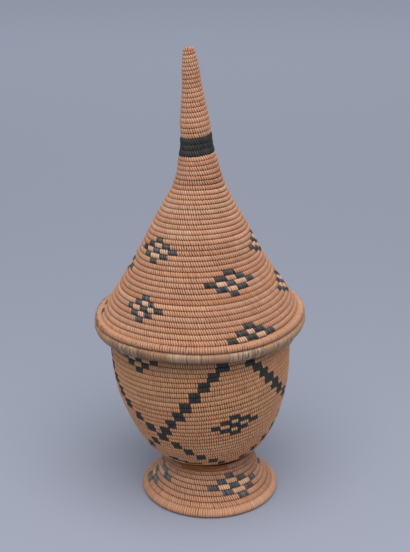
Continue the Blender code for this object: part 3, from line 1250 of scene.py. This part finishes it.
def dress_lid_edge():
    loop = dress_loop(
        "lid_edge_coil", LID_EDGE_SECTION, "lid", natural_look, LID_STITCH,
        slant=LID_EDGE_SLANT,
    )
    fray("edge_fibre", loop, EDGE_FACE, EDGE_FIBRES, "lid", natural_look, FIBRE_DEPTH)


def all_black(turns):
    """The pattern of the spire's band."""
    return np.ones(len(turns), bool), np.zeros(len(turns), bool)


RIM_INWARD = 0.3  # how far the rim coil's middle lies inwards of the wall's middle and above it, in coils
RIM_UPWARD = 0.6
RIM_CORNERS = 8


def rim_section():
    """The rim coil's round section, on the end of the neck collar."""
    radius, height, out_r, out_z = bowl.line.at(bowl.line.length - 0.5 * SEAM)
    middle_r = float(radius - 0.5 * WALL * out_r) - RIM_INWARD * RIM_COIL
    middle_z = float(height - 0.5 * WALL * out_z) + RIM_UPWARD * RIM_COIL
    return round_section(middle_r, middle_z, 0.5 * RIM_COIL, RIM_CORNERS)


dress_loop(
    "foot_edge_coil",
    FOOT_EDGE_SECTION,
    "basket",
    natural_look,
    FOOT_STITCH,
    fullness=FOOT_EDGE_FULLNESS,
    set_facts=shade_foot_edge,
)
dress(foot, "foot_flare", natural_look, foot_pattern)
dress_waist()
dress(bowl, "bowl_floor", bowl_look)
dress(bowl, "bowl_wall", bowl_look, bowl_pattern, deep_dye=True)
dress(bowl, "neck_collar", bowl_look, past=1.0, taper=RIM_TAPER)
dress_loop("rim_coil", rim_section(), "basket", natural_look, LID_STITCH)
dress_ledge()
dress_lid_edge()
dress(lid, "lid_cone", natural_look, lid_pattern, past=0.5)
dress(lid, "spire_base", natural_look, solid=True, sink=SPIRE_ROUND)
dress(
    lid,
    "spire_band",
    natural_look,
    all_black,
    deep_dye=True,
    solid=True,
    sink=BAND_ROUND,
    set_out=BAND_PROUD,
)
dress(lid, "spire_shaft", natural_look, solid=True, sink=SPIRE_ROUND, set_out=-SHAFT_INSET)
dress(lid, "spire_tip", natural_look, solid=True, sink=SPIRE_ROUND, set_out=-SHAFT_INSET)


# Floor, light and camera

FLOOR_SIZE = 14.0
# Painted light on the paper: it darkens and then lightens away from the camera, standing in for how the light
# falls off; where each change starts and ends.
FLOOR_PAINTED_DIP = (-0.3, 0.4)
FLOOR_PAINTED_LIGHT = (0.3, 2.4)
AIR_COLOUR = (0.93, 0.96, 1.0, 1.0)
AIR_STRENGTH = 0.48
KEY_PLACE = (0.08, -0.80, 1.85)
KEY_AIM = (0.0, 0.0, 0.15)
# The camera: its focal length and the picture's height in pixels, its sensor in millimetres, its place, and
# how far it looks down in degrees.
FOCAL_PIXELS = 1171.3
PICTURE_PIXELS = 552.0
SENSOR = 36.0
EYE = (0.0038, -0.824, 0.4884)
LOOKS_DOWN = 20.64

bpy.ops.object.select_all(action="DESELECT")
bpy.ops.mesh.primitive_plane_add(size=FLOOR_SIZE, location=(0.0, 0.0, 0.0))
ground = bpy.context.object
ground.name = "floor"
ground_look = Look("floor_paper", roughness=0.9, specular=0.1)
depth = ground_look.node("ShaderNodeSeparateXYZ", None, {0: ground_look.place()}, output=1)
paper = ground_look.mix(depth.step(*FLOOR_PAINTED_DIP), (160, 165, 183), (154, 160, 177))
paper = ground_look.mix(depth.step(*FLOOR_PAINTED_LIGHT), paper, (190, 197, 216))
ground_look.set("Base Color", paper)
ground.data.materials.append(ground_look.material)

world = bpy.data.worlds.new("studio")
bpy.context.scene.world = world
world.use_nodes = True
air = world.node_tree.nodes["Background"]
air.inputs["Color"].default_value = AIR_COLOUR
air.inputs["Strength"].default_value = AIR_STRENGTH

softbox = bpy.data.lights.new("key", "AREA")
softbox.shape = "DISK"
softbox.size = 2.1
softbox.energy = 37.0
softbox.color = (1.0, 0.97, 0.93)
holder = bpy.data.objects.new("key", softbox)
holder.location = KEY_PLACE
holder.rotation_euler = (Vector(KEY_AIM) - Vector(KEY_PLACE)).to_track_quat("-Z", "Y").to_euler()
bpy.context.scene.collection.objects.link(holder)

view = bpy.data.cameras.new("camera")
view.sensor_fit = "VERTICAL"
view.sensor_height = SENSOR
view.lens = SENSOR * FOCAL_PIXELS / PICTURE_PIXELS
view.clip_start = 0.05
view.clip_end = 30.0
eye = bpy.data.objects.new("camera", view)
eye.location = EYE
eye.rotation_euler = (math.radians(90.0 - LOOKS_DOWN), 0.0, 0.0)
bpy.context.scene.collection.objects.link(eye)
bpy.context.scene.camera = eye
bpy.context.scene.view_settings.view_transform = "Standard"
